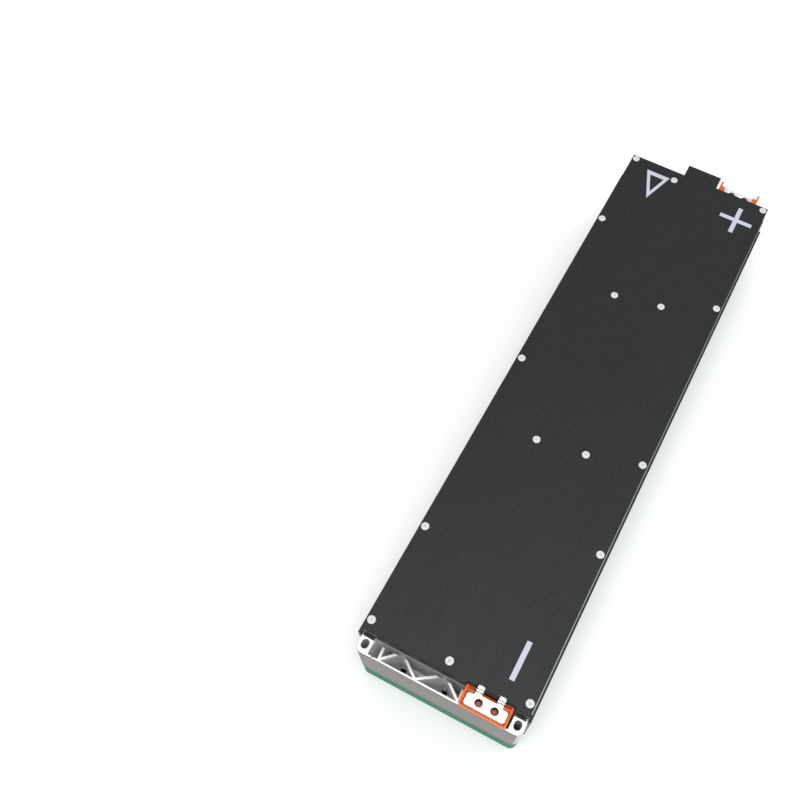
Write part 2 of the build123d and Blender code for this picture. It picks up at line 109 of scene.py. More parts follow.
# ------------------------------------------------------------------ shader helpers
class Amount:
    """A number that varies over a surface, with the usual operators."""

    def __init__(self, finish, socket):
        self.finish = finish
        self.socket = socket

    def __add__(self, other):
        return self.finish.maths("ADD", self, other)

    __radd__ = __add__

    def __sub__(self, other):
        return self.finish.maths("SUBTRACT", self, other)

    def __rsub__(self, other):
        return self.finish.maths("SUBTRACT", other, self)

    def __mul__(self, other):
        return self.finish.maths("MULTIPLY", self, other)

    __rmul__ = __mul__

    def largest(self, other):
        return self.finish.maths("MAXIMUM", self, other)

    def clamped(self):
        return self.finish.maths("ADD", self, 0.0, clamp=True)

    def between(self, low, high):
        """0 below low, 1 above high, smooth between them."""
        made = self.finish.node("ShaderNodeMapRange", {"interpolation_type": "SMOOTHSTEP"},
                                {"Value": self, "From Min": low, "From Max": high})
        return Amount(self.finish, made.outputs["Result"])


class Nodes:
    """Adds nodes to one tree, which the finishes and the growers share."""

    def node(self, kind, settings=None, inputs=None):
        """A node with its settings, then the values or links of its sockets."""
        made = self.tree.nodes.new(kind)
        for key, value in (settings or {}).items():
            setattr(made, key, value)
        for key, value in (inputs or {}).items():
            for source in value if isinstance(value, list) else [value]:
                self.feed(made.inputs[key], source)
        return made

    def feed(self, socket, value):
        if isinstance(value, Amount):
            value = value.socket
        if isinstance(value, bpy.types.NodeSocket):
            self.tree.links.new(value, socket)
        elif socket.type == "RGBA" and len(value) == 3:
            socket.default_value = (*value, 1.0)
        else:
            socket.default_value = value


class Finish(Nodes):
    """One material, built node by node."""

    def __init__(self, name):
        self.material = bpy.data.materials.new(name)
        self.material.use_nodes = True
        self.tree = self.material.node_tree
        self.tree.nodes.clear()
        self.output = self.node("ShaderNodeOutputMaterial")
        self.coordinates = self.node("ShaderNodeTexCoord")

    def maths(self, operation, first, second, clamp=False):
        made = self.node("ShaderNodeMath", {"operation": operation, "use_clamp": clamp},
                         {0: first, 1: second})
        return Amount(self, made.outputs[0])

    def place(self, stretch=(1.0, 1.0, 1.0), turn=0.0):
        """Object coordinates, stretched and turned about the upright axis."""
        made = self.node("ShaderNodeMapping", {}, {"Vector": self.coordinates.outputs["Object"],
                                                   "Scale": stretch, "Rotation": (0, 0, turn)})
        return made.outputs["Vector"]

    def axes(self):
        """The place on the surface along each axis, in metres."""
        made = self.node("ShaderNodeSeparateXYZ", {}, {0: self.coordinates.outputs["Object"]})
        return [Amount(self, made.outputs[i]) for i in range(3)]

    def facing(self):
        """How far the surface faces along each axis, -1 to 1."""
        source = self.node("ShaderNodeNewGeometry")
        made = self.node("ShaderNodeSeparateXYZ", {}, {0: source.outputs["True Normal"]})
        return [Amount(self, made.outputs[i]) for i in range(3)]

    def noise(self, size, detail=3.0, roughness=0.55, stretch=(1.0, 1.0, 1.0), turn=0.0, bend=0.0):
        """Noise whose blotches are about size across, in metres."""
        made = self.node("ShaderNodeTexNoise", {}, {
            "Vector": self.place(stretch, turn), "Scale": 1.0 / size, "Detail": detail,
            "Roughness": roughness, "Distortion": bend})
        return Amount(self, made.outputs["Fac"])

    def cells(self, size):
        """Distance from the middle of round cells about size across, in metres."""
        made = self.node("ShaderNodeTexVoronoi", {"feature": "F1"},
                         {"Vector": self.place(), "Scale": 1.0 / size})
        return Amount(self, made.outputs["Distance"])

    def mix(self, amount, first, second):
        """The first colour where amount is 0, the second where it is 1."""
        made = self.node("ShaderNodeMix", {"data_type": "RGBA"}, {0: amount, 6: first, 7: second})
        return made.outputs[2]

    def bump(self, height, depth, under=None):
        """Raises the surface by depth metres where height is 1."""
        inputs = {"Height": height, "Distance": depth, "Strength": 1.0}
        if under is not None:
            inputs["Normal"] = under
        return self.node("ShaderNodeBump", {}, inputs).outputs["Normal"]

    def surface(self, **inputs):
        """Ends the material in one shader, whose sockets are named in lower case."""
        names = {key.replace("_", " ").title(): value for key, value in inputs.items()}
        names = {key.replace("Ior", "IOR"): value for key, value in names.items()}
        shader = self.node("ShaderNodeBsdfPrincipled", {}, names)
        self.tree.links.new(shader.outputs["BSDF"], self.output.inputs["Surface"])
        return self.material


def shade(colour, factor):
    """The colour made darker or lighter by a factor."""
    return tuple(min(1.0, part * factor) for part in colour)


# ------------------------------------------------------------------ finishes
def moulded_black(name, colour, gloss, grain=0.35 * MM, relief=0.03 * MM):
    """Black moulded plastic with a fine eroded grain, faint rubs and dust, and painted shade on
    faces that don't face up.
    """
    f = Finish(name)
    cloud = f.noise(60 * MM, 4.0, 0.6)
    mottle = f.noise(6 * MM, 3.0, 0.6)
    grit = f.noise(grain, 2.0, 0.7)
    rub = f.noise(14 * MM, 5.0, 0.62, stretch=(1.0, 0.12, 1.0), turn=0.12, bend=0.6)
    tone = cloud * 0.4 + mottle * 0.25 + grit.between(0.35, 0.7) * 0.55
    tone = (tone - 0.1).clamped()
    body = f.mix(tone, shade(colour, 0.4), shade(colour, 1.95))
    dust = f.cells(3.2 * MM).between(0.09, 0.03) * f.noise(25 * MM).between(0.5, 0.7)
    body = f.mix(dust * 0.25, body, (0.22, 0.23, 0.24))
    nx, ny, nz = f.facing()
    # painted shade: faces that don't face up, such as the skirt under the cover's edge and the
    # frame's walls, are drawn much darker
    body = f.mix(nz.between(0.9, 0.5), body, shade(colour, 0.15))
    normal = f.bump(grit, relief)
    normal = f.bump(cloud, 0.25 * MM, normal)
    return f.surface(base_color=body, roughness=gloss + rub * 0.16 - grit * 0.05, normal=normal,
                     specular_ior_level=0.3)


def cast_plate(name, colour, dark):
    """Aluminium end plate: bright milled tops and duller walls, with painted shade on the front
    face, the lowered tops and deep in the pockets, painted light on the walls inside, and a painted
    shadow line at the tray.
    """
    f = Finish(name)
    x, y, z = f.axes()
    nx, ny, nz = f.facing()
    level = nz.between(0.8, 0.95)
    milled = level * z.between(PLATE_TOP - 6 * MM, PLATE_TOP - 2 * MM)
    cloud = f.noise(18 * MM, 4.0, 0.6)
    fine = f.noise(0.7 * MM, 3.0, 0.65)
    drawn = f.noise(2.4 * MM, 4.0, 0.7, stretch=(1.0, 1.0, 0.05))
    arcs = f.node("ShaderNodeTexWave", {"wave_type": "RINGS", "rings_direction": "Z"},
                  {"Vector": f.place(), "Scale": 900.0, "Distortion": 1.5, "Detail": 2.0})
    arcs = Amount(f, arcs.outputs["Fac"])
    inside = (y.largest(y * -1.0)).between(PLATE_FACE - 0.6 * MM, PLATE_FACE - 1.4 * MM)
    # painted shade: the walls are drawn far darker than the milled tops, partly for their duller
    # cast finish and partly for the shade on them; only the front face keeps this colour
    walls = f.mix((cloud * 0.6 + drawn * 0.5).clamped(), shade(dark, 0.86), shade(dark, 1.14))
    # painted light: everything behind the front face is drawn much lighter, for light reaching into
    # the pockets; the milled tops are laid over it below
    walls = f.mix(inside, walls, (0.68, 0.68, 0.685))
    tops = f.mix(arcs * 0.5 + fine * 0.4, shade(colour, 0.93), colour)
    body = f.mix(milled, walls, tops)
    # painted shade: the lowered tops of the webs are drawn dark grey, for the cover's shadow on
    # them
    sunk = level * z.between(PLATE_TOP - 9.5 * MM, PLATE_TOP - 8 * MM)
    sunk = sunk * z.between(PLATE_TOP - 2 * MM, PLATE_TOP - 5 * MM)
    body = f.mix(sunk, body, (0.17, 0.17, 0.172))
    stain = cloud.between(0.62, 0.74) * fine.between(0.4, 0.7)
    body = f.mix(stain * 0.2, body, shade(dark, 0.7))
    # painted shade, in patches, deeper down inside the pockets
    deep = z.between(PLATE_TOP - 24 * MM, PLATE_TOP - 48 * MM)
    deep_shade = cloud.between(0.35, 0.6) * deep * inside
    body = f.mix(deep_shade * 0.2, body, (0.22, 0.21, 0.205))
    # painted shadow: the plate's lowest part, from just above the step down, is drawn nearly black
    # and not metallic, for the shadow line between the plate and the tray
    shadow_line = z.between(STEP_Z + 1.6 * MM, STEP_Z + 0.4 * MM)
    body = f.mix(shadow_line, body, (0.02, 0.035, 0.03))
    normal = f.bump(drawn * (1.0 - milled) + fine * 0.5, 0.04 * MM)
    normal = f.bump(arcs * milled, 0.006 * MM, normal)
    return f.surface(base_color=body, metallic=(1.0 - shadow_line) * 0.3, normal=normal,
                     roughness=0.5 - milled * 0.12 + fine * 0.1)


def drawn_metal(name, colour, rough, grain_axis=1, grain=0.5 * MM, metallic=0.95, smudge=0.2):
    """Rolled or extruded metal with lines along one axis and faint finger smudges."""
    f = Finish(name)
    stretch = [1.0, 1.0, 1.0]
    stretch[grain_axis] = 0.02
    lines = f.noise(grain, 4.0, 0.7, stretch=tuple(stretch))
    cloud = f.noise(9 * MM, 4.0, 0.6)
    fine = f.noise(0.4 * MM, 2.0, 0.6)
    tone = (lines * 0.55 + cloud * 0.45).clamped()
    body = f.mix(tone, shade(colour, 0.86), shade(colour, 1.08))
    mark = cloud.between(0.55, 0.72)
    body = f.mix(mark * smudge, body, shade(colour, 0.7))
    normal = f.bump(lines, 0.012 * MM)
    return f.surface(base_color=body, metallic=metallic, normal=normal,
                     roughness=rough + lines * 0.14 + mark * 0.12 + fine * 0.04)


def tray_plastic(name, colour, pale):
    """Coloured moulded plastic: slight flow mottle, satin skin, paler scuffs, and a painted shadow
    along the upper rim.
    """
    f = Finish(name)
    cloud = f.noise(22 * MM, 4.0, 0.6, bend=0.8)
    flow = f.noise(5 * MM, 4.0, 0.65, stretch=(1.0, 0.25, 1.0))
    grit = f.noise(0.5 * MM, 2.0, 0.6)
    body = f.mix((cloud * 0.55 + flow * 0.4).clamped(), shade(colour, 0.84), shade(colour, 1.14))
    scuff = flow.between(0.62, 0.7) * grit.between(0.5, 0.75)
    body = f.mix(scuff * 0.35, body, pale)
    normal = f.bump(grit, 0.02 * MM)
    normal = f.bump(cloud, 0.12 * MM, normal)
    # painted shadow: the top of the tray's wall is drawn nearly black, for the shadow line where
    # the tray meets the parts above it
    top = f.axes()[2].between(TRAY_TOP - 0.7 * MM, TRAY_TOP - 0.3 * MM)
    body = f.mix(top, body, shade(colour, 0.05))
    return f.surface(base_color=body, roughness=0.42 + flow * 0.12, normal=normal,
                     specular_ior_level=0.12)


def terminal_box(name, colour, deep, pale):
    """Orange terminal box: painted shade on the near box's sunk ears, and painted light on the
    front faces near the plate top, for light through the thin wall.
    """
    f = Finish(name)
    x, y, z = f.axes()
    nx, ny, nz = f.facing()
    cloud = f.noise(12 * MM, 4.0, 0.6, bend=0.8)
    flow = f.noise(3 * MM, 4.0, 0.65, stretch=(1.0, 0.3, 1.0))
    grit = f.noise(0.4 * MM, 2.0, 0.6)
    body = f.mix((cloud * 0.5 + flow * 0.45).clamped(), shade(colour, 0.86), shade(colour, 1.12))
    (left, _, _), (right, rear, top) = HOUSE
    within = x.between(left + 1.6 * MM, left + 1.9 * MM)
    within = within * x.between(right - 1.6 * MM, right - 1.9 * MM)
    # painted shade: the ears' tops on the near box are drawn a deep dark orange, for the shade they
    # lie in
    ear = within * nz.between(0.8, 0.95) * z.between(top - 0.8 * MM, top - 0.4 * MM)
    ear = ear * y.between(0.0, -0.001) * y.between(rear - 0.2 * MM, rear - 0.4 * MM)
    body = f.mix(ear, body, deep)
    # painted light: front faces near the plate top are drawn paler, for light showing through the
    # thin front wall
    thin = (ny * -1.0).between(0.6, 0.9) * z.between(PLATE_TOP - 2 * MM, PLATE_TOP + 2 * MM)
    body = f.mix(thin * (0.35 + cloud * 0.3), body, pale)
    scuff = flow.between(0.62, 0.7) * grit.between(0.5, 0.75)
    body = f.mix(scuff * 0.3, body, pale)
    normal = f.bump(grit, 0.02 * MM)
    normal = f.bump(cloud, 0.12 * MM, normal)
    return f.surface(base_color=body, roughness=0.4 + flow * 0.12, normal=normal,
                     specular_ior_level=0.22)


def film_gloss(name, colour):
    """Thin glossy black film: long ripples, a few small creases and rubbed spots."""
    f = Finish(name)
    ripple = f.noise(26 * MM, 3.0, 0.5, stretch=(1.0, 0.22, 1.0))
    crease = f.noise(7 * MM, 4.0, 0.7, stretch=(1.0, 0.4, 2.0), bend=1.2)
    grit = f.noise(0.5 * MM, 2.0, 0.6)
    body = f.mix((ripple * 0.6 + grit * 0.3).clamped(), shade(colour, 0.7), shade(colour, 1.5))
    normal = f.bump(ripple, 0.35 * MM)
    normal = f.bump(crease, 0.06 * MM, normal)
    return f.surface(base_color=body, roughness=0.3 + crease * 0.16, normal=normal, coat_weight=0.1,
                     coat_roughness=0.2, specular_ior_level=0.25)


def nylon(name, colour, warm):
    """White nylon with a waxy skin and slightly darker flow marks."""
    f = Finish(name)
    cloud = f.noise(2.2 * MM, 3.0, 0.6)
    grit = f.noise(0.25 * MM, 2.0, 0.6)
    body = f.mix((cloud * 0.7 + grit * 0.2).clamped(), shade(colour, 0.93), warm)
    return f.surface(base_color=body, roughness=0.42 + grit * 0.12, normal=f.bump(grit, 0.008 * MM),
                     subsurface_weight=0.08, subsurface_scale=0.0015)


def printed_ink(name, colour):
    """Screen-printed ink: slightly thin in spots, following the grain below."""
    f = Finish(name)
    grit = f.noise(0.4 * MM, 3.0, 0.7)
    cloud = f.noise(8 * MM, 3.0, 0.6)
    thin = grit.between(0.6, 0.78) * 0.14 + cloud * 0.06
    body = f.mix(thin, colour, shade(colour, 0.62))
    return f.surface(base_color=body, roughness=0.55 + grit * 0.1, normal=f.bump(grit, 0.012 * MM))


def foam(name, colour, size=0.8 * MM):
    """Foam or pad with small open pores."""
    f = Finish(name)
    pore = f.cells(size)
    cloud = f.noise(12 * MM)
    body = f.mix((pore + cloud * 0.3).clamped(), shade(colour, 0.6), shade(colour, 1.2))
    return f.surface(base_color=body, roughness=0.85 - pore * 0.1, normal=f.bump(pore, 0.15 * MM))


def clear_film(name, colour):
    """Thin clear film with a soft sheen and small wrinkles."""
    f = Finish(name)
    wrinkle = f.noise(3 * MM, 4.0, 0.6, bend=0.6)
    body = f.mix(wrinkle, shade(colour, 0.9), colour)
    return f.surface(base_color=body, roughness=0.18 + wrinkle * 0.2,
                     normal=f.bump(wrinkle, 0.1 * MM))


def circuit_film(name, colour):
    """Amber circuit film with copper tracks showing through along its length."""
    f = Finish(name)
    x, y, z = f.axes()
    tracks = f.node("ShaderNodeTexWave", {"wave_type": "BANDS", "bands_direction": "X"},
                    {"Vector": f.place(), "Scale": 420.0})
    tracks = Amount(f, tracks.outputs["Fac"]).between(0.55, 0.7)
    cloud = f.noise(10 * MM)
    body = f.mix(tracks, colour, (0.62, 0.30, 0.12))
    body = f.mix(cloud * 0.3, body, shade(colour, 0.6))
    return f.surface(base_color=body, roughness=0.3 + cloud * 0.2, normal=f.bump(tracks, 0.05 * MM))


# ------------------------------------------------------------------ mesh helpers
def finish_node(node, material):
    """Gives a carried node its finish."""
    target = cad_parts[node]
    if not target.material_slots:
        target.data.materials.append(material)
    for slot in target.material_slots:
        slot.material = material


def new_piece(name, mesh, material):
    """Shows a mesh as a piece of the module, with its finish and slot."""
    piece = bpy.data.objects.new(name, mesh)
    bpy.context.scene.collection.objects.link(piece)
    if not mesh.materials:
        mesh.materials.append(material)
    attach(piece, "root")
    return piece


def smooth(mesh, angle=35.0):
    """Smooth shading, with edges sharper than the angle kept."""
    for polygon in mesh.polygons:
        polygon.use_smooth = True
    mesh.set_sharp_from_angle(angle=math.radians(angle))


def flat_shape(bm, outline, low, high, holes=()):
    """A raised print: an outline in millimetres, with an optional inner outline left open."""
    rings = [outline, *holes]
    made = []
    for z in (low, high):
        made.append([[bm.verts.new((x * MM, y * MM, z)) for x, y in ring] for ring in rings])
    count = len(outline)
    for i in range(count):
        j = (i + 1) % count
        bm.faces.new((made[0][0][i], made[0][0][j], made[1][0][j], made[1][0][i]))
        if holes:
            bm.faces.new((made[0][1][j], made[0][1][i], made[1][1][i], made[1][1][j]))
            for level in (0, 1):
                outer, inner = made[level]
                face = (outer[i], outer[j], inner[j], inner[i])
                bm.faces.new(face if level else face[::-1])
    if not holes:
        bm.faces.new(made[1][0])
        bm.faces.new(made[0][0][::-1])


# ------------------------------------------------------------------ geometry node helpers
class Grower(Nodes):
    """One geometry node tree with named inputs."""

    def __init__(self, name, inputs):
        self.tree = bpy.data.node_groups.new(name, "GeometryNodeTree")
        face = self.tree.interface
        face.new_socket("Geometry", in_out="INPUT", socket_type="NodeSocketGeometry")
        for label, kind in inputs:
            face.new_socket(label, in_out="INPUT", socket_type=kind)
        face.new_socket("Geometry", in_out="OUTPUT", socket_type="NodeSocketGeometry")
        self.given = self.tree.nodes.new("NodeGroupInput")
        self.result = self.tree.nodes.new("NodeGroupOutput")

    def input(self, label):
        return self.given.outputs[label]

    def times(self, socket, factor):
        made = self.node("ShaderNodeMath", {"operation": "MULTIPLY"}, {0: socket, 1: factor})
        return made.outputs[0]

    def turned(self, profile, radius, height, sides):
        """A turned shape, made of rings between the (radius, height) shares of a profile."""
        parts = []
        for (r0, z0), (r1, z1) in zip(profile[:-1], profile[1:]):
            rising = z1 >= z0
            low = (r0, z0) if rising else (r1, z1)
            high = (r1, z1) if rising else (r0, z0)
            ring = self.node("GeometryNodeMeshCone", {"fill_type": "NONE"}, {
                "Vertices": sides, "Radius Bottom": self.times(radius, low[0]),
                "Radius Top": self.times(radius, high[0]),
                "Depth": self.times(height, max(high[1] - low[1], 0.0005))}).outputs["Mesh"]
            lift = self.node("ShaderNodeCombineXYZ", {}, {"Z": self.times(height, low[1])})
            ring = self.node("GeometryNodeTransform", {}, {
                "Geometry": ring, "Translation": lift.outputs[0]}).outputs[0]
            if not rising:
                ring = self.node("GeometryNodeFlipFaces", {}, {"Mesh": ring}).outputs[0]
            parts.append(ring)
        joined = self.node("GeometryNodeJoinGeometry", {}, {"Geometry": parts[::-1]}).outputs[0]
        return self.node("GeometryNodeMergeByDistance", {}, {
            "Geometry": joined, "Distance": MERGE}).outputs[0]

    def end(self, geometry):
        """Plain geometry with its finish, as the tree's result."""
        real = self.node("GeometryNodeRealizeInstances", {}, {"Geometry": geometry}).outputs[0]
        done = self.node("GeometryNodeSetMaterial", {}, {
            "Geometry": real, "Material": self.input("Finish")})
        self.tree.links.new(done.outputs[0], self.result.inputs[0])

    def on_points(self, shape):
        """The shape set on every point of the host mesh."""
        made = self.node("GeometryNodeInstanceOnPoints", {}, {
            "Points": self.input("Geometry"), "Instance": shape})
        return made.outputs[0]

    def grown(self, name, points, values, slot):
        """Runs the tree on a mesh of bare points and returns the result as a piece."""
        seeds = bpy.data.meshes.new(name + "_points")
        seeds.from_pydata(points, [], [])
        host = bpy.data.objects.new(name, seeds)
        bpy.context.scene.collection.objects.link(host)
        modifier = host.modifiers.new("grow", "NODES")
        modifier.node_group = self.tree
        for item in self.tree.interface.items_tree:
            if item.in_out == "INPUT" and item.name in values:
                modifier[item.identifier] = values[item.name]
        depsgraph = bpy.context.evaluated_depsgraph_get()
        mesh = bpy.data.meshes.new_from_object(host.evaluated_get(depsgraph),
                                               preserve_all_data_layers=True, depsgraph=depsgraph)
        host.modifiers.remove(modifier)
        host.data = mesh
        bpy.data.meshes.remove(seeds)
        if not mesh.polygons:
            raise RuntimeError(name + " came out empty")
        smooth(mesh)
        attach(host, "root")
        return host


# ------------------------------------------------------------------ sizes and colours
class ModuleSizes(bpy.types.PropertyGroup):
    rivet_radius: bpy.props.FloatProperty(
        name="Rivet head radius", description="Radius of a cover rivet's head",
        default=3.35 * MM, unit="LENGTH")
    rivet_height: bpy.props.FloatProperty(
        name="Rivet head height", description="How far a rivet's head stands above the cover",
        default=1.2 * MM, unit="LENGTH")
    mark_stroke: bpy.props.FloatProperty(
        name="Mark stroke", description="Width of the strokes of the printed marks",
        default=4.3 * MM, unit="LENGTH")
    mark_length: bpy.props.FloatProperty(
        name="Mark length", description="Length of the bars of the polarity marks",
        default=32.2 * MM, unit="LENGTH")
    plate_edge: bpy.props.FloatProperty(
        name="Plate edge", description="How far the end plates' edges are broken",
        default=0.3 * MM, unit="LENGTH")
    housing_edge: bpy.props.FloatProperty(
        name="Terminal box edge", description="How far the terminal boxes' edges are rounded",
        default=0.3 * MM, unit="LENGTH")
    metal_edge: bpy.props.FloatProperty(
        name="Bar edge", description="How far the bars' and clips' edges are broken",
        default=0.1 * MM, unit="LENGTH")
    thread_radius: bpy.props.FloatProperty(
        name="Thread radius", description="Core radius of the terminal threads",
        default=2.5 * MM, unit="LENGTH")


class ModuleColours(bpy.types.PropertyGroup):
    cover: bpy.props.FloatVectorProperty(
        name="Cover", description="Moulded cover", subtype="COLOR",
        default=(0.0085, 0.0098, 0.0115))
    # drawn darker than the cover: partly its own black plastic, partly painted shade for the band
    # under the cover's near edge
    frame_black: bpy.props.FloatVectorProperty(
        name="Frame", description="Busbar frame and insulators", subtype="COLOR",
        default=(0.006, 0.0062, 0.007))
    plate: bpy.props.FloatVectorProperty(
        name="Plate", description="Milled faces of the end plates", subtype="COLOR",
        default=(0.93, 0.93, 0.925))
    # the walls' colour is far darker than the milled faces': partly the duller cast finish, partly
    # painted shade
    plate_wall: bpy.props.FloatVectorProperty(
        name="Plate wall", description="Walls of the end plates", subtype="COLOR",
        default=(0.235, 0.217, 0.203))
    tray: bpy.props.FloatVectorProperty(
        name="Tray", description="Green base tray", subtype="COLOR", default=(0.008, 0.20, 0.115))
    housing: bpy.props.FloatVectorProperty(
        name="Terminal box", description="Orange terminal boxes", subtype="COLOR",
        default=(0.66, 0.115, 0.010))
    bar: bpy.props.FloatVectorProperty(
        name="Terminal bar", description="Plated terminal bars", subtype="COLOR",
        default=(0.90, 0.895, 0.88))
    mark: bpy.props.FloatVectorProperty(
        name="Marks", description="Printed marks", subtype="COLOR", default=(0.50, 0.515, 0.60))
    rivet: bpy.props.FloatVectorProperty(
        name="Rivets", description="Nylon rivets", subtype="COLOR", default=(0.62, 0.62, 0.635))


def bar_outline(centre, across, along):
    """Corners of an upright bar."""
    x, y = centre
    return [(x - across / 2, y - along / 2), (x + across / 2, y - along / 2),
            (x + across / 2, y + along / 2), (x - across / 2, y + along / 2)]


# ------------------------------------------------------------------ operators
class MODULE_OT_cover(bpy.types.Operator):
    """Finishes the cover and the black parts below it."""
    bl_idname = "battery_module.cover"
    bl_label = "Cover and frame"

    def execute(self, context):
        colours = context.scene.module_colours
        grained = moulded_black("cover_grain_and_shade", tuple(colours.cover), 0.46, 0.8 * MM, 0.05 * MM)
        finish_node("cover", grained)
        black = moulded_black("frame_grain_and_shade", tuple(colours.frame_black), 0.5, 0.5 * MM)
        for node in ("busbar_frame", "end_insulator_near", "end_insulator_far", "thermistors",
                     "signal_connector"):
            finish_node(node, black)
        return {"FINISHED"}


class MODULE_OT_marks(bpy.types.Operator):
    """Prints the polarity marks and the orientation mark on the cover."""
    bl_idname = "battery_module.marks"
    bl_label = "Printed marks"

    def execute(self, context):
        sizes = context.scene.module_sizes
        ink = printed_ink("mark_ink", tuple(context.scene.module_colours.mark))
        stroke = sizes.mark_stroke / MM
        reach = sizes.mark_length / MM
        low = COVER_TOP - INK_DEPTH
        high = COVER_TOP + INK_LIFT

        bm = bmesh.new()
        flat_shape(bm, bar_outline(MINUS_PLACE, stroke, reach), low, high)
        self.keep(bm, "mark_minus", ink)

        bm = bmesh.new()
        (x, y), h, r = PLUS_PLACE, stroke / 2, reach / 2
        cross = [(x - h, y - r), (x + h, y - r), (x + h, y - h), (x + r, y - h), (x + r, y + h),
                 (x + h, y + h), (x + h, y + r), (x - h, y + r), (x - h, y + h), (x - r, y + h),
                 (x - r, y - h), (x - h, y - h)]
        flat_shape(bm, cross, low, high)
        self.keep(bm, "mark_plus", ink)

        # an open triangle that points to the near end
        bm = bmesh.new()
        tip, right, left = outer = [Vector(corner) for corner in TRIANGLE]
        centre = (tip + left + right) / 3
        around = (right - left).length + (tip - left).length + (tip - right).length
        inradius = abs((right - left).cross(tip - left)) / around
        inner_scale = 1.0 - TRIANGLE_STROKE * stroke / inradius
        inner = [centre + (corner - centre) * inner_scale for corner in outer]
        flat_shape(bm, outer, low, high, (inner,))
        self.keep(bm, "mark_triangle", ink)
        return {"FINISHED"}

    def keep(self, bm, name, ink):
        """Ends a mark as a piece of its own."""
        mesh = bpy.data.meshes.new(name)
        bmesh.ops.recalc_face_normals(bm, faces=bm.faces)
        bm.to_mesh(mesh)
        bm.free()
        new_piece(name, mesh, ink)


class MODULE_OT_rivets(bpy.types.Operator):
    """Grows the snap rivets of the cover, heads and centre pins."""
    bl_idname = "battery_module.rivets"
    bl_label = "Cover rivets"

    def execute(self, context):
        sizes = context.scene.module_sizes
        colours = context.scene.module_colours
        bright = tuple(colours.rivet)
        white = nylon("rivet_nylon", bright, (0.68, 0.68, 0.69))
        dull = nylon("pin_nylon", shade(bright, 0.86), (0.52, 0.52, 0.535))
        points = [(x * MM, y * MM, COVER_TOP) for x, y in RIVET_SPOTS]
        for tree, profile, finish, piece, node, slot in (
            ("snap rivet heads", RIVET_HEAD, white, "rivet_heads", "cover_rivets", "rivet_white"),
            ("snap rivet pins", RIVET_PIN, dull, "rivet_pins_shown", "rivet_pins", "pin_white"),
        ):
            grower = Grower(tree, (
                ("Head Radius", "NodeSocketFloat"), ("Head Height", "NodeSocketFloat"),
                ("Sides", "NodeSocketInt"), ("Finish", "NodeSocketMaterial")))
            shape = grower.turned(profile, grower.input("Head Radius"),
                                  grower.input("Head Height"), grower.input("Sides"))
            grower.end(grower.on_points(shape))
            values = {"Head Radius": sizes.rivet_radius, "Head Height": sizes.rivet_height,
                      "Sides": RIVET_SIDES, "Finish": finish}
            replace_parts(grower.grown(piece, points, values, slot), node)
        return {"FINISHED"}


class MODULE_OT_end_plates(bpy.types.Operator):
    """Finishes the two end plates."""
    bl_idname = "battery_module.end_plates"
    bl_label = "End plates"

    def execute(self, context):
        colours = context.scene.module_colours
        metal = cast_plate("plate_aluminium", tuple(colours.plate), tuple(colours.plate_wall))
        finish_node("end_plate_near", metal)
        finish_node("end_plate_far", metal)
        return {"FINISHED"}


class MODULE_OT_sides(bpy.types.Operator):
    """Finishes the side plates, their film and the base tray."""
    bl_idname = "battery_module.sides"
    bl_label = "Sides and tray"

    def execute(self, context):
        colours = context.scene.module_colours
        metal = drawn_metal("side_metal", (0.34, 0.34, 0.335), 0.4)
        film = film_gloss("side_film", (0.010, 0.010, 0.011))
        green = tray_plastic("tray_green", tuple(colours.tray), (0.30, 0.55, 0.44))
        for side in ("left", "right"):
            finish_node("side_plate_" + side, metal)
            finish_node("side_film_" + side, film)
        finish_node("base_tray", green)
        return {"FINISHED"}


class MODULE_OT_terminals(bpy.types.Operator):
    """Finishes the terminal boxes, bars and clips and turns the threaded inserts."""
    bl_idname = "battery_module.terminals"
    bl_label = "Terminals"

    def execute(self, context):
        sizes = context.scene.module_sizes
        colours = context.scene.module_colours
        # the third colour is the painted shade on the near box's ears; the fourth is the paler
        # scuffs and the painted light on the front faces
        orange = terminal_box("housing_orange", tuple(colours.housing), (0.32, 0.024, 0.001),
                              (0.86, 0.36, 0.20))
        bar = drawn_metal("bar_nickel", tuple(colours.bar), 0.24, 0, 0.35 * MM, 0.9, 0.12)
        tin = drawn_metal("clip_tin", (0.62, 0.62, 0.61), 0.3, 1, 0.3 * MM)
        copper = drawn_metal("insert_copper", (0.20, 0.075, 0.055), 0.34, 2, 0.3 * MM)
        for end in ("near", "far"):
            finish_node("terminal_housing_" + end, orange)
            finish_node("terminal_bar_" + end, bar)
            finish_node("terminal_clips_" + end, tin)

        inserts = Grower("threaded inserts", (
            ("Core Radius", "NodeSocketFloat"), ("Pitch", "NodeSocketFloat"),
            ("Finish", "NodeSocketMaterial")))
        # the insert's wall and rim, then each turn of its thread, then its floor
        profile = [(1.84, -8.0), (1.84, -0.4), (1.74, 0.0), (1.22, 0.0)]
        for i in range(THREAD_TURNS):
            profile += [(1.20 if i == 0 else 1.17, -0.15 - i), (1.0, -0.55 - i), (1.0, -0.7 - i)]
        profile += [(1.16, -THREAD_TURNS), (0.0, -0.01 - THREAD_TURNS)]
        shape = inserts.turned(profile, inserts.input("Core Radius"), inserts.input("Pitch"),
                               THREAD_SIDES)
        inserts.end(inserts.on_points(shape))
        values = {"Core Radius": sizes.thread_radius, "Pitch": THREAD_PITCH, "Finish": copper}
        for end, sign in (("near", -1), ("far", 1)):
            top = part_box("terminal_inserts_" + end)[1][2]
            points = [(x * MM, sign * y * MM, top) for x, y in BAR_HOLES]
            made = inserts.grown("threaded_inserts_" + end, points, values, "insert_copper")
            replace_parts(made, "terminal_inserts_" + end)
        return {"FINISHED"}


